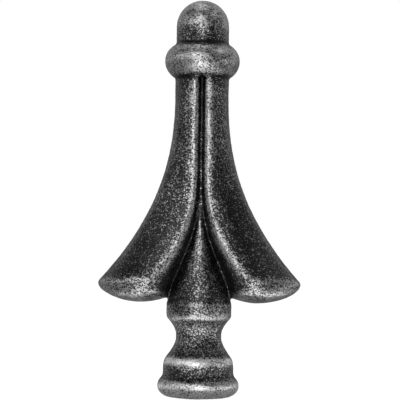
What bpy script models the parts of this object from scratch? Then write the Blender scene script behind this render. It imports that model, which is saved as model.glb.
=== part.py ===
"""Fence spear point: an iron finial for the top of a fence picket, cast in one piece.

A round dome sits on a collar. Under the collar a skirt of two rounded lobes flares out like a
parted curtain, with a cone in the parting, front and back. The skirt ends in a thick lip, and a
column head, a waist, a drum and a beaded foot carry it.

Sizes are in metres. Z is up, the front faces -Y, and the origin is the middle of the underside.
"""

import math

import bmesh
import bpy

# Foot and column, from the underside up
FOOT_RADIUS = 0.0134
FOOT_UNDERSIDE_RADIUS = 0.0084
FOOT_BEAD = 0.0037
DRUM_RADIUS = 0.0116
DRUM_TOP_RADIUS = 0.0114
DRUM_TOP = 0.0122
DRUM_SHOULDER = 0.0014
LOWER_COVE_HEIGHT = 0.0070
LOWER_COVE_POWER = 1.45
WAIST_RADIUS = 0.0074
WAIST_HEIGHT = 0.0012
UPPER_COVE_HEIGHT = 0.00565
UPPER_COVE_POWER = 1.85
HEAD_RADIUS = 0.01064
HEAD_HEIGHT = 0.0052
HEAD_SHOULDER = 0.0007

# Cone between the lobes, with the thin web that runs up from it to the collar
CONE_RADIUS = 0.0102
CONE_FOOT_HEIGHT = 0.0016
CONE_HEIGHT = 0.0348
CONE_POWER = 1.5
WEB_HALF_WIDTH = 0.0013
WEB_HALF_DEPTH = 0.0066
LOBE_OVERLAP = 0.0003

# Lobes of the skirt
LOBE_DROP = 0.00036
LOBE_REACH = 0.0332
LOBE_MIDDLE = 0.0192
LOBE_HALF_DEPTH = 0.0131
LIP_HEIGHT = 0.0076
NOSE_HEIGHT = 0.00603
NOSE_RADIUS = 0.0021
BELLY_HEIGHT = 0.0039
BELLY_POWER = 1.75
OUTLINE_FLARE_FOOT = 0.0067
OUTLINE_FLARE_HEIGHT = 0.0610
OUTLINE_FLARE_POWER = 2.29
CREST_OFFSET = 0.0019
CREST_REACH = 0.0174
CREST_FLARE_HEIGHT = 0.0430
CREST_FLARE_POWER = 3.0

# Neck, collar and dome
NECK_RADIUS = 0.00876
NECK_HEIGHT = 0.0059
COLLAR_RADIUS = 0.01225
COLLAR_BEAD = 0.00604
DOME_RADIUS = 0.0086
DOME_RISE = 0.01143
CREASE = 0.0004

# Fineness of the faceted surface
TURNED_STEPS = 40
ARC_STEP = math.radians(20)
COVE_STEPS = 6
QUARTER_STEPS = 8
FLARE_LEVELS = 22
FLARE_CROWDING = 1.25
LIP_LEVELS = 4
BELLY_LEVELS = 6
CONE_LEVELS = 18
CONE_SIDES = 28

# Heights above the underside that follow from the sizes
WAIST_BOTTOM = DRUM_TOP + LOWER_COVE_HEIGHT
WAIST_TOP = WAIST_BOTTOM + WAIST_HEIGHT
HEAD_BOTTOM = WAIST_TOP + UPPER_COVE_HEIGHT
HEAD_TOP = HEAD_BOTTOM + HEAD_HEIGHT
LOBE_BOTTOM = HEAD_TOP - LOBE_DROP
LIP_TOP = LOBE_BOTTOM + LIP_HEIGHT
NOSE = LOBE_BOTTOM + NOSE_HEIGHT
BELLY_TOP = LOBE_BOTTOM + BELLY_HEIGHT
CONE_BOTTOM = HEAD_TOP + CONE_FOOT_HEIGHT
FLARE_FOOT = LOBE_BOTTOM + OUTLINE_FLARE_FOOT
NECK_BOTTOM = FLARE_FOOT + OUTLINE_FLARE_HEIGHT
COLLAR_BOTTOM = NECK_BOTTOM + NECK_HEIGHT
COLLAR_BEAD_CENTRE = COLLAR_RADIUS - COLLAR_BEAD


def bead_rise(radius):
    """How far above or below the collar's middle its bead has this radius."""
    return math.sqrt(COLLAR_BEAD**2 - (radius - COLLAR_BEAD_CENTRE) ** 2)


COLLAR_MIDDLE = COLLAR_BOTTOM + bead_rise(NECK_RADIUS)
DOME_MIDDLE = COLLAR_MIDDLE + DOME_RISE


def share(value, low, high):
    """Where value lies between low and high, from 0 to 1."""
    return min(max((value - low) / (high - low), 0.0), 1.0)


def between(low, high, amount):
    return low + (high - low) * amount


def arc(centre, radius, start, end, widen=1.0):
    """Points (radius, height) on an arc, both ends included: widen makes it an ellipse."""
    steps = max(2, math.ceil(abs(end - start) / ARC_STEP))
    angles = [between(start, end, i / steps) for i in range(steps + 1)]
    return [
        (centre[0] + widen * radius * math.cos(a), centre[1] + radius * math.sin(a))
        for a in angles
    ]


def soften(profile, corner, width, steps=3):
    """The profile with one of its corners rounded over this width on both sides."""
    at = profile.index(corner)
    before = [p for p in profile[:at] if math.dist(p, corner) > width]
    after = [p for p in profile[at + 1 :] if math.dist(p, corner) > width]

    def towards(point):
        amount = width / math.dist(point, corner)
        return tuple(between(c, p, amount) for c, p in zip(corner, point))

    first = towards(before[-1])
    last = towards(after[0])
    curve = []
    for i in range(steps + 1):
        t = i / steps
        curve.append(
            tuple(
                (1 - t) ** 2 * a + 2 * t * (1 - t) * c + t**2 * b
                for a, c, b in zip(first, corner, last)
            )
        )
    return before + curve + after


def column_profile():
    """The foot, drum, waist and column head, from the underside up."""
    under_width = FOOT_RADIUS - FOOT_UNDERSIDE_RADIUS
    under_centre = (FOOT_UNDERSIDE_RADIUS, FOOT_BEAD)
    under = arc(under_centre, FOOT_BEAD, -math.pi / 2, 0.0, under_width / FOOT_BEAD)
    bead_centre = (FOOT_RADIUS - FOOT_BEAD, FOOT_BEAD)
    crease_angle = math.acos((DRUM_RADIUS - bead_centre[0]) / FOOT_BEAD)
    bead = arc(bead_centre, FOOT_BEAD, 0.0, crease_angle)
    crease = bead[-1]
    shoulder = (DRUM_TOP_RADIUS, DRUM_TOP)
    lower_cove = []
    for i in range(1, COVE_STEPS + 1):
        t = 1 - i / COVE_STEPS
        radius = between(WAIST_RADIUS, DRUM_TOP_RADIUS, t**LOWER_COVE_POWER)
        lower_cove.append((radius, between(WAIST_BOTTOM, DRUM_TOP, t)))
    upper_cove = []
    for i in range(COVE_STEPS + 1):
        t = i / COVE_STEPS
        radius = between(WAIST_RADIUS, HEAD_RADIUS, t**UPPER_COVE_POWER)
        upper_cove.append((radius, between(WAIST_TOP, HEAD_BOTTOM, t)))
    head_edge = upper_cove[-1]
    head_top = (HEAD_RADIUS, HEAD_TOP)
    profile = [(0.0, 0.0)] + under[:-1] + bead + [shoulder] + lower_cove + upper_cove
    profile += [head_top, (0.0, HEAD_TOP)]
    profile = soften(profile, crease, CREASE)
    profile = soften(profile, shoulder, DRUM_SHOULDER)
    profile = soften(profile, head_edge, HEAD_SHOULDER)
    return soften(profile, head_top, HEAD_SHOULDER)


def cap_profile():
    """The collar and the dome, from the collar's underside up."""
    centre = (COLLAR_BEAD_CENTRE, COLLAR_MIDDLE)
    start = -math.asin(bead_rise(NECK_RADIUS) / COLLAR_BEAD)
    end = math.asin(bead_rise(DOME_RADIUS) / COLLAR_BEAD)
    bead = arc(centre, COLLAR_BEAD, start, end)
    dome = arc((0.0, DOME_MIDDLE), DOME_RADIUS, 0.0, math.pi / 2)
    dome[-1] = (0.0, DOME_MIDDLE + DOME_RADIUS)
    profile = [(0.0, COLLAR_BOTTOM)] + bead + dome
    return soften(profile, bead[-1], CREASE)


def outline(height):
    """How far a lobe reaches from the axis at this height, seen from the front."""
    if height <= NOSE:
        return LOBE_MIDDLE + belly_half_length(height)
    amount = 1 - share(height, FLARE_FOOT, NECK_BOTTOM)
    flare = between(NECK_RADIUS, LOBE_REACH, amount**OUTLINE_FLARE_POWER)
    rise = height - NOSE
    if rise >= NOSE_RADIUS:
        return flare
    nose = LOBE_REACH - NOSE_RADIUS + math.sqrt(NOSE_RADIUS**2 - rise**2)
    return min(flare, nose)


def belly_half_length(height):
    """Half the length of a lobe's rounded underside at this height."""
    drop = 1 - share(height, LOBE_BOTTOM, NOSE)
    rest = 1 - drop**BELLY_POWER
    return (LOBE_REACH - LOBE_MIDDLE) * rest ** (1 / BELLY_POWER)


def crest_amount(height):
    crest_top = LIP_TOP + CREST_FLARE_HEIGHT
    return (1 - share(height, LIP_TOP, crest_top)) ** CREST_FLARE_POWER


def crest(height):
    """How far from the axis a lobe's crest stands, seen from the front."""
    if height < LIP_TOP:
        amount = share(height, LOBE_BOTTOM, LIP_TOP)
        return between(LOBE_MIDDLE, CREST_REACH, amount)
    return between(CREST_OFFSET, CREST_REACH, crest_amount(height))


def half_depth(height):
    """Half of a lobe's depth from front to back at its crest."""
    if height < BELLY_TOP:
        drop = 1 - share(height, LOBE_BOTTOM, BELLY_TOP)
        return LOBE_HALF_DEPTH * math.sqrt(1 - drop**2)
    return between(NECK_RADIUS, LOBE_HALF_DEPTH, crest_amount(height))


def cone_amount(height):
    """How much of its full width the cone has at this height: it starts and ends softly."""
    down = 1 - share(height, CONE_BOTTOM, CONE_BOTTOM + CONE_HEIGHT)
    return 1 - (1 - down**2) ** CONE_POWER


def lobe_inner(height):
    """How far from the axis a lobe's inner side starts, just inside the cone."""
    in_cone = CONE_RADIUS * cone_amount(height) - LOBE_OVERLAP
    if height > NOSE:
        return in_cone
    return max(in_cone, LOBE_MIDDLE - belly_half_length(height))


def lobe_ring(height):
    """One level of the right lobe: an egg with its long side from the cone to the tip."""
    out = outline(height)
    inner = lobe_inner(height)
    top = crest(height)
    depth = half_depth(height)
    ring = []
    for i in range(4 * QUARTER_STEPS):
        angle = math.pi / 2 * i / QUARTER_STEPS
        across = math.cos(angle)
        length = out - top if across > 0 else top - inner
        ring.append((top + length * across, -depth * math.sin(angle), height))
    return ring


def lobe_heights():
    """The levels of a lobe, from inside the collar to just above its lowest point."""
    flare = [
        between(LIP_TOP, COLLAR_MIDDLE, (1 - i / FLARE_LEVELS) ** FLARE_CROWDING)
        for i in range(FLARE_LEVELS + 1)
    ]
    lip = [between(LIP_TOP, BELLY_TOP, i / LIP_LEVELS) for i in range(1, LIP_LEVELS)]
    belly = [
        BELLY_TOP - BELLY_HEIGHT * math.sin(math.pi / 2 * i / BELLY_LEVELS)
        for i in range(BELLY_LEVELS)
    ]
    return flare + lip + belly


def cone_ring(height):
    """One level of the cone: an ellipse, thin and deep in the web and round at the foot."""
    amount = cone_amount(height)
    half_width = between(WEB_HALF_WIDTH, CONE_RADIUS, amount)
    half_length = between(WEB_HALF_DEPTH, CONE_RADIUS, amount)
    ring = []
    for i in range(CONE_SIDES):
        angle = 2 * math.pi * i / CONE_SIDES
        ring.append(
            (half_width * math.cos(angle), -half_length * math.sin(angle), height)
        )
    return ring


def cone_heights():
    """The levels of the cone and its web, from inside the collar to inside the column head."""
    top = CONE_BOTTOM + CONE_HEIGHT
    cone = [between(top, CONE_BOTTOM, i / CONE_LEVELS) for i in range(CONE_LEVELS + 1)]
    return [COLLAR_MIDDLE, between(COLLAR_MIDDLE, top, 0.5)] + cone + [HEAD_BOTTOM]


def stack(name, rings, last_point=None):
    """A closed body through rings of points, open rings joined by quads and ends filled."""
    mesh = bmesh.new()
    loops = [[mesh.verts.new(point) for point in ring] for ring in rings]
    sides = len(loops[0])
    for upper, lower in zip(loops, loops[1:]):
        for i in range(sides):
            j = (i + 1) % sides
            mesh.faces.new((upper[i], upper[j], lower[j], lower[i]))
    mesh.faces.new(loops[0])
    if last_point is None:
        mesh.faces.new(loops[-1])
    else:
        tip = mesh.verts.new(last_point)
        for i in range(sides):
            mesh.faces.new((loops[-1][i], loops[-1][(i + 1) % sides], tip))
    return finished(name, mesh)


def turned(name, profile):
    """A closed body made by turning a profile of (radius, height) round the Z axis."""
    mesh = bmesh.new()
    points = [mesh.verts.new((radius, 0.0, height)) for radius, height in profile]
    edges = [mesh.edges.new(pair) for pair in zip(points, points[1:])]
    bmesh.ops.spin(
        mesh,
        geom=points + edges,
        cent=(0.0, 0.0, 0.0),
        axis=(0.0, 0.0, 1.0),
        angle=2 * math.pi,
        steps=TURNED_STEPS,
        use_merge=True,
    )
    bmesh.ops.remove_doubles(mesh, verts=mesh.verts, dist=1e-6)
    return finished(name, mesh)


def finished(name, mesh):
    """An object of this mesh, with its faces pointing out."""
    bmesh.ops.recalc_face_normals(mesh, faces=mesh.faces)
    data = bpy.data.meshes.new(name)
    mesh.to_mesh(data)
    mesh.free()
    piece = bpy.data.objects.new(name, data)
    bpy.context.scene.collection.objects.link(piece)
    return piece


def lobe(name, side):
    """One lobe of the skirt: side is 1 for the right one and -1 for the left."""
    rings = [
        [(side * x, y, z) for x, y, z in lobe_ring(height)]
        for height in lobe_heights()
    ]
    return stack(name, rings, (side * LOBE_MIDDLE, 0.0, LOBE_BOTTOM))


def melt_together(body, others):
    """Joins the others to the body as one casting, and keeps them as hidden guides."""
    for other in others:
        other.hide_render = True
        other.display_type = "WIRE"
        union = body.modifiers.new("Union " + other.name, "BOOLEAN")
        union.operation = "UNION"
        union.solver = "EXACT"
        union.object = other


def cast_iron():
    """Blackened cast iron with its raised parts rubbed bright."""
    material = bpy.data.materials.new("cast iron")
    material.use_nodes = True
    shader = material.node_tree.nodes["Principled BSDF"]
    shader.inputs["Base Color"].default_value = (0.11, 0.11, 0.11, 1.0)
    shader.inputs["Metallic"].default_value = 0.9
    shader.inputs["Roughness"].default_value = 0.5
    return material


def main():
    for thing in list(bpy.data.objects):
        bpy.data.objects.remove(thing)
    spear_point = turned("spear_point", column_profile())
    cap = turned("guide_cap", cap_profile())
    cone = stack("guide_cone", [cone_ring(height) for height in cone_heights()])
    lobes = [lobe("guide_lobe_right", 1), lobe("guide_lobe_left", -1)]
    melt_together(spear_point, [cone] + lobes + [cap])
    spear_point.data.materials.append(cast_iron())
    spear_point.data.shade_smooth()
    spear_point.data.set_sharp_from_angle(angle=math.radians(35))


main()
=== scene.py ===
"""Looks of the fence spear point: a rough black iron casting with its raised parts rubbed silver,
on a plain pale floor in soft studio light. Lengths are in metres, +Z is up, the front faces -Y.
"""

import math

import bpy
import numpy as np
from bpy.props import FloatProperty, PointerProperty, StringProperty
from mathutils import Matrix, Vector, noise


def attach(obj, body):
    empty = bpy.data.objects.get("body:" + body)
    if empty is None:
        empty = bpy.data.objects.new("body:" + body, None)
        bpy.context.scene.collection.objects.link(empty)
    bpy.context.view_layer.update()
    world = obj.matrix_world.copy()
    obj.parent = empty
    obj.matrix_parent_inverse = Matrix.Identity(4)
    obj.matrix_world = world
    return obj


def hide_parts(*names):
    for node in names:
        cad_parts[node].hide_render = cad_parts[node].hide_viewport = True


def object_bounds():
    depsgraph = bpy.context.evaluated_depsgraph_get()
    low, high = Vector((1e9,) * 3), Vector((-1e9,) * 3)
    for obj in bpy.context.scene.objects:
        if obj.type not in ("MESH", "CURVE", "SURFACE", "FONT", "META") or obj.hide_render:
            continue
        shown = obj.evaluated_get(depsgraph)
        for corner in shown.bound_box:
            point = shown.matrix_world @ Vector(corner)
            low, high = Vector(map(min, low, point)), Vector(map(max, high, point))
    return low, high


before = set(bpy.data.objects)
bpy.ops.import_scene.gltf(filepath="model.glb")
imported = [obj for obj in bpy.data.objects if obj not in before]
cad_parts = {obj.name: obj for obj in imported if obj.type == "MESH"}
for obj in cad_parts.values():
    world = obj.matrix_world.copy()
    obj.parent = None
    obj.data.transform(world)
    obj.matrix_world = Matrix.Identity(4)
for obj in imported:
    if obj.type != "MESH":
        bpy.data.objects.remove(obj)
CAD_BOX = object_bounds()

bl_info = {
    "name": "Fence spear point",
    "version": (1, 0, 0),
    "blender": (4, 5, 0),
    "location": "View3D > Sidebar > Spear Point",
    "description": "Dresses a cast fence spear point and sets up its studio",
    "category": "Object",
}

MM = 0.001
NODE = "spear_point"


def length(name, millimetres, description):
    """A length property, given in millimetres and kept in metres."""
    return FloatProperty(
        name=name,
        description=description,
        default=millimetres * MM,
        subtype="DISTANCE",
        unit="LENGTH",
        precision=5,
    )


def factor(name, value, description):
    """A property without a unit."""
    return FloatProperty(name=name, description=description, default=value)


def shade(name, hex_value, description):
    """A colour property, kept as an sRGB hex value."""
    return StringProperty(name=name, description=description, default=hex_value)


class ColumnSizes(bpy.types.PropertyGroup):
    """Sizes of the foot, drum, waist and column head."""

    foot_radius: length("Foot radius", 13.4, "Widest radius of the foot bead")
    underside_radius: length("Underside radius", 8.4, "Radius of the flat underside")
    foot_bead: length("Foot bead", 3.7, "Radius of the foot bead's section")
    drum_radius: length("Drum radius", 11.6, "Radius of the drum at its base")
    drum_top_radius: length("Drum top radius", 11.4, "Radius of the drum at its shoulder")
    drum_top: length("Drum top", 12.2, "Height of the drum's shoulder")
    drum_shoulder: length("Drum shoulder", 1.4, "Rounding of the drum's shoulder")
    lower_cove: length("Lower cove", 7.0, "Height of the cove from drum to waist")
    lower_power: factor("Lower cove power", 1.45, "How late the lower cove flares")
    waist_radius: length("Waist radius", 7.4, "Radius of the waist")
    waist_height: length("Waist height", 1.2, "Height of the straight waist")
    upper_cove: length("Upper cove", 5.65, "Height of the cove from waist to head")
    upper_power: factor("Upper cove power", 1.85, "How late the upper cove flares")
    head_radius: length("Head radius", 10.64, "Radius of the column head")
    head_height: length("Head height", 5.2, "Height of the column head")
    head_shoulder: length("Head shoulder", 0.7, "Rounding of the head's edges")


class SkirtSizes(bpy.types.PropertyGroup):
    """Sizes of the two lobes and of the cone between them."""

    cone_radius: length("Cone radius", 10.2, "Radius of the cone at its foot")
    cone_foot: length("Cone foot", 1.6, "Straight height under the cone")
    cone_height: length("Cone height", 34.8, "Height of the cone")
    cone_power: factor("Cone power", 1.5, "How softly the cone starts and ends")
    web_width: length("Web half width", 1.3, "Half the width of the web above the cone")
    web_depth: length("Web half depth", 6.6, "Half the depth of the web")
    lobe_overlap: length("Lobe overlap", 0.3, "How far a lobe reaches into the cone")
    lobe_drop: length("Lobe drop", 0.36, "How far a lobe hangs below the head's top")
    lobe_reach: length("Lobe reach", 33.2, "From the axis to a lobe's tip")
    lobe_middle: length("Lobe middle", 19.2, "From the axis to a lobe's lowest point")
    lobe_depth: length("Lobe half depth", 13.1, "Half a lobe's depth at the lip")
    lip_height: length("Lip height", 7.6, "Height of the lip's upper edge over the bottom")
    nose_height: length("Nose height", 6.03, "Height of the tip over the bottom")
    nose_radius: length("Nose radius", 2.1, "Rounding above the tip")
    belly_height: length("Belly height", 3.9, "Height of the rounding under the lip")
    belly_power: factor("Belly power", 1.75, "Roundness of the lower outline")
    flare_foot: length("Flare foot", 6.7, "Height where the outline has its full reach")
    flare_height: length("Flare height", 61.0, "Height of the outline's flare")
    flare_power: factor("Flare power", 2.29, "How late the outline flares")
    crest_offset: length("Crest offset", 1.9, "From the axis to a crest at the neck")
    crest_reach: length("Crest reach", 17.4, "From the axis to a crest at the lip")
    crest_height: length("Crest flare height", 43.0, "Height of the crests' flare")
    crest_power: factor("Crest power", 3.0, "How late the crests part")


class CapSizes(bpy.types.PropertyGroup):
    """Sizes of the neck, collar and dome, and of the soft creases of the casting."""

    neck_radius: length("Neck radius", 8.76, "Radius of the neck")
    neck_height: length("Neck height", 5.9, "Straight height under the collar")
    collar_radius: length("Collar radius", 12.25, "Widest radius of the collar")
    collar_bead: length("Collar bead", 6.04, "Radius of the collar's section")
    dome_radius: length("Dome radius", 8.6, "Radius of the dome")
    dome_rise: length("Dome rise", 11.43, "From the collar's middle to the dome's centre")
    crease: length("Crease", 0.4, "Rounding of the creases")


class CastingFinish(bpy.types.PropertyGroup):
    """Grain of the casting and colours of its finish."""

    voxel: length("Mesh size", 0.44, "Edge of the casting mesh's quads")
    # Moulding sand has grains of about 0.2 to 0.4 mm. In the mesh they are as wide as its quads need.
    sand: length("Sand grain", 1.1, "Width of a grain left by the sand mould")
    sand_depth: length("Sand depth", 0.06, "Depth of the grain")
    swell: length("Swell", 6.0, "Width of the slow unevenness of the casting")
    swell_depth: length("Swell depth", 0.07, "Depth of the slow unevenness")
    rubbed_least: factor("Rubbed least", 0.355, "How far the hollows are rubbed, from 0 to 1")
    rubbed_most: factor("Rubbed most", 0.53, "How far the crests and rims are rubbed")
    rubbed_waist: factor("Rubbed waist", 0.415, "How far the waist is rubbed")
    rubbed_foot: factor("Rubbed foot", 0.575, "How far the foot bead is rubbed")
    rubbed_collar: factor("Rubbed collar", 0.53, "How far the collar is rubbed")
    rubbed_dome: factor("Rubbed dome", 0.015, "How much more the dome is rubbed")
    # Painted shade: the lower lobes get less silver, most at the lip.
    lower_lobe_shade: factor("Rubbed lips", 0.034, "How much less the lower lobes are rubbed")
    rubbed_shoulder: factor("Rubbed shoulder", 0.08, "How much more the drum's shoulder is rubbed")
    # Painted shade: the deepest creases get less silver, so they read darker.
    deep_crease_shade: factor("Deep crease", 0.22, "How much less the deepest creases are rubbed")
    narrow_crease: factor("Narrow crease", 9.0, "How many times over a narrow crease is hollow")
    black: shade("Black", "#282828", "Colour of the blackened skin")
    # The pit colour darkens recesses: partly patina in the hollows, partly painted shade in the
    # creases.
    pit_and_shade: shade("Pit", "#1e1e1e", "Colour of pits and creases")
    silver: shade("Silver", "#acacac", "Colour where the skin is rubbed bright")
    bare: shade("Bare", "#dadada", "Colour of the silver where it is rubbed most")


class StudioSettings(bpy.types.PropertyGroup):
    """Camera and light of the studio."""

    distance: length("Camera distance", 576.5, "From the axis to the camera")
    camera_height: length("Camera height", 52.0, "Height of the camera over the floor")
    aim_height: length("Aim height", 64.5, "Height of the point the camera looks at")
    aim_side: length("Aim offset", -0.16, "How far right of the axis it looks")
    field: length("Field", 131.2, "Width of the picture at the axis")
    turn: factor("Camera turn", 0.0, "Degrees the camera stands to the right")
    roll: factor("Camera roll", 0.81, "Degrees the piece leans right in the picture")
    floor: shade("Floor", "#808080", "Colour of the floor before it is lit from below")


def from_hex(value):
    """A linear RGBA colour from an sRGB hex value."""
    srgb = [int(value[i : i + 2], 16) / 255 for i in (1, 3, 5)]
    linear = [c / 12.92 if c <= 0.04045 else ((c + 0.055) / 1.055) ** 2.4 for c in srgb]
    return (*linear, 1.0)


def share(value, low, high):
    """Where value lies between low and high, from 0 to 1."""
    return min(max((value - low) / (high - low), 0.0), 1.0)


def between(low, high, amount):
    """The value that lies this share of the way from low to high."""
    return low + (high - low) * amount


class Heights:
    """Heights above the underside that follow from the sizes."""

    def __init__(self, column, skirt, cap):
        self.waist_bottom = column.drum_top + column.lower_cove
        self.waist_top = self.waist_bottom + column.waist_height
        self.head_bottom = self.waist_top + column.upper_cove
        self.head_top = self.head_bottom + column.head_height
        self.lobe_bottom = self.head_top - skirt.lobe_drop
        self.lip_top = self.lobe_bottom + skirt.lip_height
        self.nose = self.lobe_bottom + skirt.nose_height
        self.belly_top = self.lobe_bottom + skirt.belly_height
        self.cone_bottom = self.head_top + skirt.cone_foot
        self.flare_foot = self.lobe_bottom + skirt.flare_foot
        self.neck_bottom = self.flare_foot + skirt.flare_height
        self.collar_bottom = self.neck_bottom + cap.neck_height
        self.collar_centre = cap.collar_radius - cap.collar_bead
        self.collar_middle = self.collar_bottom + self.bead_rise(cap, cap.neck_radius)
        self.dome_middle = self.collar_middle + cap.dome_rise

    def bead_rise(self, cap, radius):
        """How far from the collar's middle its bead has this radius."""
        return math.sqrt(cap.collar_bead**2 - (radius - self.collar_centre) ** 2)


ARC_STEP = math.radians(5)
COVE_STEPS = 24
TURNED_SIDES = 160
QUARTER_STEPS = 30
LEVEL_STEP = 0.5 * MM
CONE_SIDES = 120


def arc(centre, radius, start, end, widen=1.0):
    """Points (radius, height) on an arc, both ends included: widen makes it an ellipse."""
    steps = max(2, math.ceil(abs(end - start) / ARC_STEP))
    angles = [between(start, end, i / steps) for i in range(steps + 1)]
    return [
        (centre[0] + widen * radius * math.cos(a), centre[1] + radius * math.sin(a))
        for a in angles
    ]


def soften(profile, corner, width, steps=6):
    """The profile with one of its corners rounded over this width on both sides."""
    at = profile.index(corner)
    before = [p for p in profile[:at] if math.dist(p, corner) > width]
    after = [p for p in profile[at + 1 :] if math.dist(p, corner) > width]

    def towards(point):
        amount = width / math.dist(point, corner)
        return tuple(between(c, p, amount) for c, p in zip(corner, point))

    first = towards(before[-1])
    last = towards(after[0])
    curve = []
    for i in range(steps + 1):
        t = i / steps
        weights = ((1 - t) ** 2, 2 * t * (1 - t), t**2)
        curve.append(
            tuple(sum(w * c for w, c in zip(weights, axis)) for axis in zip(first, corner, last))
        )
    return before + curve + after


def column_profile(column, cap, heights):
    """The foot, drum, waist and column head, from the underside up."""
    widen = (column.foot_radius - column.underside_radius) / column.foot_bead
    under_centre = (column.underside_radius, column.foot_bead)
    under = arc(under_centre, column.foot_bead, -math.pi / 2, 0.0, widen)
    bead_centre = (column.foot_radius - column.foot_bead, column.foot_bead)
    crease_angle = math.acos((column.drum_radius - bead_centre[0]) / column.foot_bead)
    bead = arc(bead_centre, column.foot_bead, 0.0, crease_angle)
    shoulder = (column.drum_top_radius, column.drum_top)
    lower_cove = []
    for i in range(1, COVE_STEPS + 1):
        t = 1 - i / COVE_STEPS
        radius = between(column.waist_radius, column.drum_top_radius, t**column.lower_power)
        lower_cove.append((radius, between(heights.waist_bottom, column.drum_top, t)))
    upper_cove = []
    for i in range(COVE_STEPS + 1):
        t = i / COVE_STEPS
        radius = between(column.waist_radius, column.head_radius, t**column.upper_power)
        upper_cove.append((radius, between(heights.waist_top, heights.head_bottom, t)))
    head_top = (column.head_radius, heights.head_top)
    profile = [(0.0, 0.0)] + under[:-1] + bead + [shoulder] + lower_cove + upper_cove
    profile += [head_top, (0.0, heights.head_top)]
    profile = soften(profile, bead[-1], cap.crease)
    profile = soften(profile, shoulder, column.drum_shoulder)
    profile = soften(profile, upper_cove[-1], column.head_shoulder)
    return soften(profile, head_top, column.head_shoulder)


def cap_profile(cap, heights):
    """The collar and the dome, from the collar's underside up."""
    start = -math.asin(heights.bead_rise(cap, cap.neck_radius) / cap.collar_bead)
    end = math.asin(heights.bead_rise(cap, cap.dome_radius) / cap.collar_bead)
    centre = (heights.collar_centre, heights.collar_middle)
    bead = arc(centre, cap.collar_bead, start, end)
    dome = arc((0.0, heights.dome_middle), cap.dome_radius, 0.0, math.pi / 2)
    dome[-1] = (0.0, heights.dome_middle + cap.dome_radius)
    profile = [(0.0, heights.collar_bottom)] + bead + dome
    return soften(profile, bead[-1], cap.crease)


def belly_half_length(skirt, heights, height):
    """Half the length of a lobe's rounded underside at this height."""
    drop = 1 - share(height, heights.lobe_bottom, heights.nose)
    rest = max(1 - drop**skirt.belly_power, 0.0)
    return (skirt.lobe_reach - skirt.lobe_middle) * rest ** (1 / skirt.belly_power)


def outline(skirt, cap, heights, height):
    """How far a lobe reaches from the axis at this height, seen from the front."""
    if height <= heights.nose:
        return skirt.lobe_middle + belly_half_length(skirt, heights, height)
    amount = 1 - share(height, heights.flare_foot, heights.neck_bottom)
    flare = between(cap.neck_radius, skirt.lobe_reach, amount**skirt.flare_power)
    rise = height - heights.nose
    if rise >= skirt.nose_radius:
        return flare
    tip = skirt.lobe_reach - skirt.nose_radius
    return min(flare, tip + math.sqrt(skirt.nose_radius**2 - rise**2))


def crest_amount(skirt, heights, height):
    """How much of its flare a crest has at this height."""
    top = heights.lip_top + skirt.crest_height
    return (1 - share(height, heights.lip_top, top)) ** skirt.crest_power


def crest(skirt, heights, height):
    """How far from the axis a lobe's crest stands, seen from the front."""
    if height < heights.lip_top:
        amount = share(height, heights.lobe_bottom, heights.lip_top)
        return between(skirt.lobe_middle, skirt.crest_reach, amount)
    amount = crest_amount(skirt, heights, height)
    return between(skirt.crest_offset, skirt.crest_reach, amount)


def half_depth(skirt, cap, heights, height):
    """Half of a lobe's depth from front to back at its crest."""
    if height < heights.belly_top:
        drop = 1 - share(height, heights.lobe_bottom, heights.belly_top)
        return skirt.lobe_depth * math.sqrt(max(1 - drop**2, 0.0))
    amount = crest_amount(skirt, heights, height)
    return between(cap.neck_radius, skirt.lobe_depth, amount)


def cone_amount(skirt, heights, height):
    """How much of its full width the cone has at this height."""
    top = heights.cone_bottom + skirt.cone_height
    down = 1 - share(height, heights.cone_bottom, top)
    return 1 - (1 - down**2) ** skirt.cone_power


def lobe_inner(skirt, heights, height):
    """How far from the axis a lobe's inner side starts, just inside the cone."""
    in_cone = skirt.cone_radius * cone_amount(skirt, heights, height) - skirt.lobe_overlap
    if height > heights.nose:
        return in_cone
    in_belly = skirt.lobe_middle - belly_half_length(skirt, heights, height)
    return max(in_cone, in_belly)


def lobe_rings(skirt, cap, heights, side):
    """The levels of one lobe, each an egg with its long side from the cone to the tip."""
    count = math.ceil((heights.collar_middle - heights.belly_top) / LEVEL_STEP)
    levels = [between(heights.collar_middle, heights.belly_top, i / count) for i in range(count)]
    drops = np.sin(np.linspace(0, math.pi / 2, QUARTER_STEPS, endpoint=False))
    levels += [heights.belly_top - skirt.belly_height * drop for drop in drops]
    angles = np.arange(4 * QUARTER_STEPS) * math.pi / 2 / QUARTER_STEPS
    across = np.cos(angles)
    rings = []
    for height in levels:
        top = crest(skirt, heights, height)
        out = outline(skirt, cap, heights, height) - top
        inner = top - lobe_inner(skirt, heights, height)
        x = side * (top + np.where(across > 0, out, inner) * across)
        y = -half_depth(skirt, cap, heights, height) * np.sin(angles)
        rings.append(np.stack([x, y, np.full_like(x, height)], axis=1))
    return rings


def cone_rings(skirt, heights):
    """The levels of the cone: thin and deep in the web, and round at the foot."""
    count = math.ceil((heights.collar_middle - heights.head_bottom) / LEVEL_STEP)
    angles = np.arange(CONE_SIDES) * 2 * math.pi / CONE_SIDES
    rings = []
    for i in range(count + 1):
        height = between(heights.collar_middle, heights.head_bottom, i / count)
        amount = cone_amount(skirt, heights, height)
        x = between(skirt.web_width, skirt.cone_radius, amount) * np.cos(angles)
        y = -between(skirt.web_depth, skirt.cone_radius, amount) * np.sin(angles)
        rings.append(np.stack([x, y, np.full_like(x, height)], axis=1))
    return rings


def turned_rings(profile):
    """Rings round the Z axis through a profile's points, without the two on the axis."""
    angles = np.arange(TURNED_SIDES) * 2 * math.pi / TURNED_SIDES
    return [
        np.stack(
            [radius * np.cos(angles), radius * np.sin(angles), np.full_like(angles, height)],
            axis=1,
        )
        for radius, height in profile[1:-1]
    ]


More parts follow.
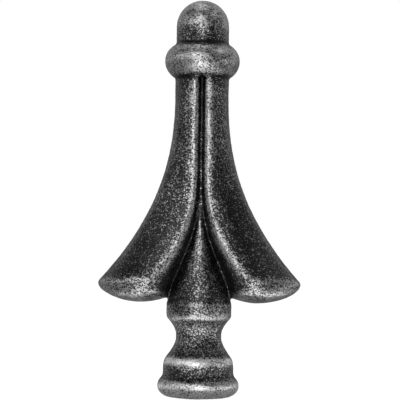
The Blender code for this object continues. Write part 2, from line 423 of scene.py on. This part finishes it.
def closed_body(rings):
    """Points and faces of a closed body through rings, with both ends filled."""
    points = np.concatenate(rings)
    sides = len(rings[0])
    faces = []
    for level in range(len(rings) - 1):
        start = level * sides
        for i in range(sides):
            j = (i + 1) % sides
            faces.append((start + i, start + j, start + sides + j, start + sides + i))
    faces.append(tuple(range(sides))[::-1])
    faces.append(tuple(range(len(points) - sides, len(points))))
    return points, faces


def melted(name, bodies, voxel):
    """One skin round several overlapping closed bodies, as a mesh of even quads."""
    points = []
    faces = []
    for body_points, body_faces in bodies:
        start = sum(len(p) for p in points)
        points.append(body_points)
        faces += [tuple(start + i for i in face) for face in body_faces]
    mesh = bpy.data.meshes.new(name)
    mesh.from_pydata(np.concatenate(points).tolist(), [], faces)
    piece = bpy.data.objects.new(name, mesh)
    bpy.context.scene.collection.objects.link(piece)
    remesh = piece.modifiers.new("Melt", "REMESH")
    remesh.mode = "VOXEL"
    remesh.voxel_size = voxel
    graph = bpy.context.evaluated_depsgraph_get()
    piece.data = bpy.data.meshes.new_from_object(piece.evaluated_get(graph))
    piece.modifiers.clear()
    bpy.data.meshes.remove(mesh)
    return piece


def read(items, name, width, kind=np.float32):
    """One row for each point, edge or normal of a mesh, with this many numbers in it."""
    flat = np.empty(len(items) * width, kind)
    items.foreach_get(name, flat)
    return flat.reshape(-1, width)


def smoothed(values, edges, rounds, strength=0.5):
    """Values at the mesh's points, each moved towards the mean of its neighbours."""
    values = np.array(values, float)
    count = len(values)
    ends = np.concatenate([edges[:, 0], edges[:, 1]])
    others = np.concatenate([edges[:, 1], edges[:, 0]])
    neighbours = np.bincount(ends, minlength=count)
    columns = values.reshape(count, -1)
    for _ in range(rounds):
        for k in range(columns.shape[1]):
            total = np.bincount(ends, weights=columns[others, k], minlength=count)
            columns[:, k] += strength * (total / neighbours - columns[:, k])
    return columns.reshape(values.shape)


SEED_STEPS = (17.3, 5.1, 11.7)


def noise_at(points, width, seed):
    """Smooth noise from about -1 to 1, with features of this width: a seed moves it elsewhere."""
    shift = Vector([seed * step for step in SEED_STEPS])
    return np.array([noise.noise(Vector(p) / width + shift) for p in points])


def store(mesh, name, values):
    """Keeps one value for each point, for the material to read."""
    layer = mesh.attributes.new(name, "FLOAT", "POINT")
    layer.data.foreach_set("value", np.asarray(values, np.float32))


# Rounds of smoothing, and the step back that keeps an evened mesh from shrinking.
EVEN_ROUNDS = 10
STEP_BACK = -0.53
FILLET_ROUNDS = 4
FORM_ROUNDS = 60
CREASE_ROUNDS = 12

# Millimetres that a place stands proud of the smoothed form, or lies under it, where the rub starts and
# is full, and where the painted shade of a deep crease starts and is darkest.
RUB_STARTS = 0.02
RUB_FULL = 0.32
DEEP_STARTS = 0.6
DEEP_FULL = 0.9

# Where the bands of rub start or end, in radii of the foot's bead, of the drum's shoulder and of
# the dome. The foot's and the dome's end off the piece, so that they are full up to its ends.
FOOT_BELOW = 2
FOOT_ABOVE = 1.85
SHOULDER_BELOW = 1.3
DOME_ABOVE = 3

# How squarely a band ends.
BAND_POWER = 10

# How deep the finer sand grain is, as a share of the coarser one.
FINER_SAND = 0.6


def eased(values, low, high):
    """A soft step from 0 to 1 between low and high."""
    t = np.clip((values - low) / (high - low), 0, 1)
    return t * t * (3 - 2 * t)


def band(height, low, high):
    """1 in the middle of a stretch of heights, and 0 at its ends and beyond."""
    middle = (low + high) / 2
    return np.clip(1 - (abs(height - middle) / (high - middle)) ** BAND_POWER, 0, 1)


def rounded(points, edges):
    """The points with the quads evened out and the creases rounded."""
    for _ in range(EVEN_ROUNDS):
        points = smoothed(smoothed(points, edges, 1), edges, 1, STEP_BACK)
    return smoothed(points, edges, FILLET_ROUNDS)


def standing_proud(points, edges, normals, rounds):
    """How far each point stands out of the form that this much smoothing leaves."""
    return ((points - smoothed(points, edges, rounds)) * normals).sum(1)


def rubbing_and_shade(proud, height, finish, column, skirt, cap, heights):
    """How far each point is rubbed, from 0 to 1: crests and rims most, and the turned parts by band,
    less the painted shade of deep creases and lower lobes.
    """
    soft = column.drum_shoulder
    foot = band(height, -FOOT_BELOW * column.foot_bead, FOOT_ABOVE * column.foot_bead)
    shoulder = band(height, column.drum_top - SHOULDER_BELOW * soft, column.drum_top + soft)
    waist = band(height, column.drum_top + soft, heights.head_bottom)
    collar_top = 2 * heights.collar_middle - heights.collar_bottom
    collar = band(height, heights.collar_bottom, collar_top)
    dome = band(height, collar_top, heights.dome_middle + DOME_ABOVE * cap.dome_radius)
    groove = band(height, heights.lip_top - skirt.crest_height, heights.collar_bottom)
    lobes = band(height, heights.head_top, heights.neck_bottom)
    # Ramp of the lobes' painted shade: full up to the lip's upper edge, fading to none at the neck.
    lip_shade_ramp = 1 - eased(height, heights.lip_top, heights.neck_bottom)
    crests = eased(proud / MM, RUB_STARTS, RUB_FULL)
    creases = eased(-proud / MM, DEEP_STARTS, DEEP_FULL)
    raised = between(finish.rubbed_least, finish.rubbed_most, crests)
    raised = np.maximum(raised, finish.rubbed_waist * waist)
    raised = np.maximum(raised, finish.rubbed_foot * foot)
    raised += finish.rubbed_shoulder * shoulder
    raised += finish.rubbed_dome * dome
    raised = np.maximum(raised, finish.rubbed_collar * collar)
    # Painted shade: deep creases outside the front groove lose silver.
    raised -= finish.deep_crease_shade * creases * (1 - groove)
    # Painted shade: the lower lobes lose silver, more towards the lip.
    raised -= finish.lower_lobe_shade * lip_shade_ramp * lobes
    return raised


def grain_casting(mesh, finish, column, skirt, cap, heights):
    """Rounds the creases, keeps what stands proud and how far it is rubbed less the painted shade of
    creases and lower lobes, and roughens the skin as sand does.
    """
    edges = read(mesh.edges, "vertices", 2, np.int32)
    points = rounded(read(mesh.vertices, "co", 3).astype(float), edges)
    mesh.vertices.foreach_set("co", points.ravel())
    mesh.update()
    normals = read(mesh.vertex_normals, "vector", 3).astype(float)
    proud = standing_proud(points, edges, normals, FORM_ROUNDS)
    dip = standing_proud(points, edges, normals, CREASE_ROUNDS)
    # Narrow creases count as deeper, so they take more of the painted shade.
    proud += finish.narrow_crease * np.minimum(dip, 0)
    store(mesh, "proud", proud / MM)
    # The raised value is the rub less the painted shade of deep creases and lower lobes.
    store(mesh, "raised", rubbing_and_shade(proud, points[:, 2], finish, column, skirt, cap, heights))
    sand = noise_at(points, finish.sand, 1) + FINER_SAND * noise_at(points, finish.sand / 2, 2)
    swell = noise_at(points, finish.swell, 3)
    rise = finish.sand_depth * sand + finish.swell_depth * swell
    points += normals * rise[:, None]
    low, high = CAD_BOX
    points = np.clip(points, np.array(low), np.array(high))
    mesh.vertices.foreach_set("co", points.ravel())
    mesh.update()


def put(tree, kind, settings=None, inputs=None):
    """Adds a node with its settings, and sets or links its inputs."""
    node = tree.nodes.new(kind)
    for name, value in (settings or {}).items():
        setattr(node, name, value)
    for name, value in (inputs or {}).items():
        socket = node.inputs[name]
        if isinstance(value, bpy.types.NodeSocket):
            tree.links.new(value, socket)
        else:
            socket.default_value = value
    return node


def blackened_cast_iron(finish):
    """Sand-cast grey iron, blackened and then rubbed.

    The sand mould leaves a fine grain. The skin is almost black and half dull. A dry brush of
    silver catches the tops of the grain, most of all on crests, edges and rounds. Recesses take a
    darker pit colour, partly patina and partly painted shade, and deep creases and the lower lobes
    carry less silver as painted shade.
    """
    material = bpy.data.materials.new("blackened cast iron")
    material.use_nodes = True
    tree = material.node_tree
    shader = tree.nodes["Principled BSDF"]
    place = put(tree, "ShaderNodeTexCoord").outputs["Object"]
    # Widths in millimetres, with the noise's detail and roughness. The sand's own grain of 0.2 to
    # 0.4 mm is a pixel of the picture or less, so the fine noise and the cells are drawn as coarse
    # as they need to show. Flecks are where grains clump, and patches where the brush pressed.
    patterns = {"fine": (0.42, 2.0, 0.6), "fleck": (1.1, 3.0, 0.6), "patch": (7.0, 2.0, 0.5)}
    cell_mm = 0.34
    relief_mm = 0.17
    # Shares of the patterns in the height that the brush meets, and the height it passes at.
    fine_share = 0.75
    fleck_share = 0.25
    patch_share = 0.16
    cell_share = 0.24
    brush_height = 1.12
    # Under and over the brush, where the silver starts and where it covers.
    silver_starts = -0.12
    silver_covers = 0.11
    # How far rubbed a place is where the silver starts to be bare metal, and where it is all bare.
    bare_starts = 0.54
    bare_full = 0.575
    # How far under the form a recess lies where the pit colour, partly painted shade, is full.
    pit_depth_mm = 0.5
    # The skin is duller than the silver, and what is left of the oxide keeps both short of metal.
    skin_roughness = 0.32
    silver_roughness = 0.30
    metal = 0.95
    noises = {}
    for name, (width, detail, roughness) in patterns.items():
        noises[name] = put(
            tree,
            "ShaderNodeTexNoise",
            {"noise_dimensions": "3D"},
            {"Vector": place, "Scale": 1 / (width * MM), "Detail": detail, "Roughness": roughness},
        ).outputs["Fac"]
    cells = put(
        tree,
        "ShaderNodeTexVoronoi",
        {"voronoi_dimensions": "3D"},
        {"Vector": place, "Scale": 1 / (cell_mm * MM)},
    ).outputs["Color"]
    cell = put(tree, "ShaderNodeSeparateColor", {}, {"Color": cells}).outputs["Red"]
    proud = put(tree, "ShaderNodeAttribute", {"attribute_name": "proud"}).outputs["Fac"]
    # raised holds the rub less the painted shade of deep creases and lower lobes.
    raised = put(tree, "ShaderNodeAttribute", {"attribute_name": "raised"}).outputs["Fac"]
    fleck = put(
        tree,
        "ShaderNodeMath",
        {"operation": "MULTIPLY"},
        {0: noises["fleck"], 1: fleck_share},
    ).outputs[0]
    grain = put(
        tree,
        "ShaderNodeMath",
        {"operation": "MULTIPLY_ADD"},
        {0: noises["fine"], 1: fine_share, 2: fleck},
    ).outputs[0]
    patch = put(
        tree,
        "ShaderNodeMath",
        {"operation": "MULTIPLY_ADD"},
        {0: noises["patch"], 1: patch_share, 2: -patch_share / 2},
    ).outputs[0]
    patchy = put(tree, "ShaderNodeMath", {"operation": "ADD"}, {0: grain, 1: patch}).outputs[0]
    grainy = put(
        tree,
        "ShaderNodeMath",
        {"operation": "MULTIPLY_ADD"},
        {0: cell, 1: cell_share, 2: patchy},
    ).outputs[0]
    top = put(tree, "ShaderNodeMath", {"operation": "ADD"}, {0: grainy, 1: raised}).outputs[0]
    over = put(
        tree,
        "ShaderNodeMath",
        {"operation": "SUBTRACT"},
        {0: top, 1: brush_height},
    ).outputs[0]
    rubbed = put(
        tree,
        "ShaderNodeMapRange",
        {"interpolation_type": "SMOOTHSTEP"},
        {"Value": over, "From Min": silver_starts, "From Max": silver_covers},
    ).outputs["Result"]
    level = put(
        # Recesses go from black to the pit colour: partly patina, partly painted shade in the creases.
        tree,
        "ShaderNodeMapRange",
        {"interpolation_type": "SMOOTHSTEP"},
        {"Value": proud, "From Min": -pit_depth_mm, "From Max": 0.0},
    ).outputs["Result"]
    skin = put(
        tree,
        "ShaderNodeMix",
        {"data_type": "RGBA"},
        {0: level, 6: from_hex(finish.pit_and_shade), 7: from_hex(finish.black)},
    ).outputs[2]
    most = put(
        tree,
        "ShaderNodeMapRange",
        {"interpolation_type": "SMOOTHSTEP"},
        {"Value": raised, "From Min": bare_starts, "From Max": bare_full},
    ).outputs["Result"]
    silver = put(
        tree,
        "ShaderNodeMix",
        {"data_type": "RGBA"},
        {0: most, 6: from_hex(finish.silver), 7: from_hex(finish.bare)},
    ).outputs[2]
    colour = put(
        tree,
        "ShaderNodeMix",
        {"data_type": "RGBA"},
        {0: rubbed, 6: skin, 7: silver},
    ).outputs[2]
    dullness = put(
        tree,
        "ShaderNodeMapRange",
        {},
        {"Value": rubbed, "To Min": skin_roughness, "To Max": silver_roughness},
    ).outputs["Result"]
    bump = put(
        tree,
        "ShaderNodeBump",
        {},
        {"Height": grain, "Strength": 1.0, "Distance": relief_mm * MM},
    ).outputs["Normal"]
    tree.links.new(colour, shader.inputs["Base Color"])
    tree.links.new(dullness, shader.inputs["Roughness"])
    tree.links.new(bump, shader.inputs["Normal"])
    shader.inputs["Metallic"].default_value = metal
    return material


def opal_acrylic(studio):
    """Opal acrylic sheet, cast with white pigment and lit from below, so it is an even white.

    The camera sees its full glow. What the iron mirrors of it is dimmer, as in the photo.
    """
    mirrored_glow = 0.19
    seen_glow = 0.96
    material = bpy.data.materials.new("opal acrylic")
    material.use_nodes = True
    shader = material.node_tree.nodes["Principled BSDF"]
    shader.inputs["Base Color"].default_value = from_hex(studio.floor)
    shader.inputs["Roughness"].default_value = 0.9
    shader.inputs["Emission Color"].default_value = (1.0, 1.0, 1.0, 1.0)
    seen = put(material.node_tree, "ShaderNodeLightPath").outputs["Is Camera Ray"]
    glow = put(
        material.node_tree,
        "ShaderNodeMapRange",
        {},
        {"Value": seen, "To Min": mirrored_glow, "To Max": seen_glow},
    ).outputs["Result"]
    material.node_tree.links.new(glow, shader.inputs["Emission Strength"])
    return material


class SPEARPOINT_OT_casting(bpy.types.Operator):
    """Builds the iron casting round the frame's solid"""

    bl_idname = "spearpoint.casting"
    bl_label = "Build the casting"

    def execute(self, context):
        scene = context.scene
        column, skirt, cap = scene.column_sizes, scene.skirt_sizes, scene.cap_sizes
        finish = scene.casting_finish
        heights = Heights(column, skirt, cap)
        bodies = [
            closed_body(turned_rings(column_profile(column, cap, heights))),
            closed_body(turned_rings(cap_profile(cap, heights))),
            closed_body(cone_rings(skirt, heights)),
            closed_body(lobe_rings(skirt, cap, heights, 1)),
            closed_body(lobe_rings(skirt, cap, heights, -1)),
        ]
        piece = melted("spear_point_casting", bodies, finish.voxel)
        if not piece.data.polygons:
            raise RuntimeError("the casting has no faces")
        grain_casting(piece.data, finish, column, skirt, cap, heights)
        piece.data.shade_smooth()
        piece.data.materials.clear()
        piece.data.materials.append(blackened_cast_iron(finish))
        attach(piece, "root")
        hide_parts(NODE)
        return {"FINISHED"}


def area_light(name, place, aim, size, power, grid=180):
    """A soft rectangular lamp at a place, turned to an aim, with a grid that narrows its beam."""
    lamp = bpy.data.lights.new(name, "AREA")
    lamp.shape = "RECTANGLE"
    lamp.size, lamp.size_y = size
    lamp.energy = power
    lamp.spread = math.radians(grid)
    holder = bpy.data.objects.new(name, lamp)
    holder.location = place
    holder.rotation_mode = "QUATERNION"
    holder.rotation_quaternion = (Vector(aim) - Vector(place)).to_track_quat("-Z", "Y")
    holder.visible_camera = False
    bpy.context.scene.collection.objects.link(holder)


# How bright the surroundings are, from straight in front (0) to straight behind (1).
BOARDS = ((0.0, 0.12), (0.50, 0.10), (0.68, 0.35), (0.81, 1.05), (0.87, 0.8), (0.94, 0.10))


def studio_world():
    """Dark cloth in front, overhead and straight behind, and white boards in a ring behind.

    The camera itself sees plain white.
    """
    world = bpy.data.worlds.new("studio")
    bpy.context.scene.world = world
    world.use_nodes = True
    tree = world.node_tree
    tree.nodes.clear()
    way = put(tree, "ShaderNodeTexCoord").outputs["Generated"]
    depth = put(tree, "ShaderNodeSeparateXYZ", {}, {0: way}).outputs["Y"]
    place = put(
        tree,
        "ShaderNodeMapRange",
        {},
        {"Value": depth, "From Min": -1.0, "From Max": 1.0},
    ).outputs["Result"]
    ramp = put(tree, "ShaderNodeValToRGB", {}, {"Fac": place})
    stops = ramp.color_ramp.elements
    while len(stops) < len(BOARDS):
        stops.new(1.0)
    for stop, (position, level) in zip(stops, BOARDS):
        stop.position = position
        stop.color = (level, level, level, 1.0)
    seen = put(tree, "ShaderNodeLightPath").outputs["Is Camera Ray"]
    colour = put(
        tree,
        "ShaderNodeMix",
        {"data_type": "RGBA"},
        {0: seen, 6: ramp.outputs["Color"], 7: (1.0, 1.0, 1.0, 1.0)},
    ).outputs[2]
    light = put(tree, "ShaderNodeBackground", {}, {"Color": colour})
    put(tree, "ShaderNodeOutputWorld", {}, {"Surface": light.outputs[0]})


FLOOR_HALF = 6.0

# Each lamp's name, place, aim, width and length, and power, and a gridded one's beam in degrees.
LAMPS = (
    ("front_strip", (-0.01, -0.75, 0.18), (0, 0, 0.07), (0.11, 0.36), 1.15),
    ("floor_strip", (0.0, -0.36, 0.003), (0.0, -0.36, 1.0), (0.11, 0.52), 0.88),
    ("foot_card", (0.010, -0.037, 0.002), (0.010, -0.037, 1.0), (0.09, 0.036), 0.026),
    ("left_card", (-0.034, -0.002, 0.002), (-0.034, -0.002, 1.0), (0.03, 0.05), 0.005),
    ("right_card", (0.054, -0.015, 0.002), (0.054, -0.015, 1.0), (0.05, 0.06), 0.014),
    ("high_light", (-0.16, -0.47, 0.39), (0, 0, 0.124), (0.24, 0.24), 0.046, 22),
    ("left_panel", (-0.70, -0.30, 0.36), (0, 0, 0.11), (0.60, 0.26), 1.1),
    ("top_light", (-0.05, 0.05, 0.69), (0, 0, 0.05), (0.25, 0.38), 0.72),
    ("right_light", (0.40, -0.10, 0.55), (0, 0, 0.05), (0.30, 0.30), 0.45),
    ("side_card", (1.10, -0.10, 0.03), (0, 0, 0.01), (0.90, 0.10), 1.5),
)


class SPEARPOINT_OT_studio(bpy.types.Operator):
    """Sets up the floor, the soft light and the camera"""

    bl_idname = "spearpoint.studio"
    bl_label = "Set up the studio"

    def execute(self, context):
        studio = context.scene.studio_settings
        context.scene.view_settings.view_transform = "Standard"
        self.floor(studio)
        for lamp in LAMPS:
            area_light(*lamp)
        studio_world()
        self.camera(context, studio)
        return {"FINISHED"}

    def floor(self, studio):
        half = FLOOR_HALF
        mesh = bpy.data.meshes.new("studio_floor")
        corners = [(-half, -half, 0), (half, -half, 0), (half, half, 0), (-half, half, 0)]
        mesh.from_pydata(corners, [], [(0, 1, 2, 3)])
        mesh.materials.append(opal_acrylic(studio))
        floor = bpy.data.objects.new("studio_floor", mesh)
        bpy.context.scene.collection.objects.link(floor)

    def camera(self, context, studio):
        camera = bpy.data.cameras.new("camera")
        camera.sensor_width = 36.0
        camera.lens = camera.sensor_width * studio.distance / studio.field
        holder = bpy.data.objects.new("camera", camera)
        context.scene.collection.objects.link(holder)
        turn = Matrix.Rotation(math.radians(studio.turn), 3, "Z")
        place = turn @ Vector((studio.aim_side, -studio.distance, studio.camera_height))
        aim = turn @ Vector((studio.aim_side, 0.0, studio.aim_height))
        holder.location = place
        look = (aim - place).to_track_quat("-Z", "Y").to_matrix()
        roll = Matrix.Rotation(math.radians(studio.roll), 3, "Z")
        holder.rotation_euler = (look @ roll).to_euler()
        context.scene.camera = holder


class SPEARPOINT_PT_panel(bpy.types.Panel):
    """Lists the spear point's operators and sizes"""

    bl_label = "Fence spear point"
    bl_idname = "SPEARPOINT_PT_panel"
    bl_space_type = "VIEW_3D"
    bl_region_type = "UI"
    bl_category = "Spear Point"

    def draw(self, context):
        layout = self.layout
        for operator in OPERATORS:
            layout.operator(operator.bl_idname)
        for group in GROUPS:
            box = layout.box()
            settings = getattr(context.scene, group)
            for name in GROUPS[group].__annotations__:
                box.prop(settings, name)


GROUPS = {
    "column_sizes": ColumnSizes,
    "skirt_sizes": SkirtSizes,
    "cap_sizes": CapSizes,
    "casting_finish": CastingFinish,
    "studio_settings": StudioSettings,
}
OPERATORS = (SPEARPOINT_OT_casting, SPEARPOINT_OT_studio)


def register():
    for group in GROUPS:
        bpy.utils.register_class(GROUPS[group])
        setattr(bpy.types.Scene, group, PointerProperty(type=GROUPS[group]))
    for kind in (*OPERATORS, SPEARPOINT_PT_panel):
        bpy.utils.register_class(kind)


def unregister():
    for kind in (SPEARPOINT_PT_panel, *reversed(OPERATORS)):
        bpy.utils.unregister_class(kind)
    for group in reversed(GROUPS):
        delattr(bpy.types.Scene, group)
        bpy.utils.unregister_class(GROUPS[group])


def main():
    register()
    bpy.ops.spearpoint.casting()
    bpy.ops.spearpoint.studio()


if __name__ == "__main__":
    main()
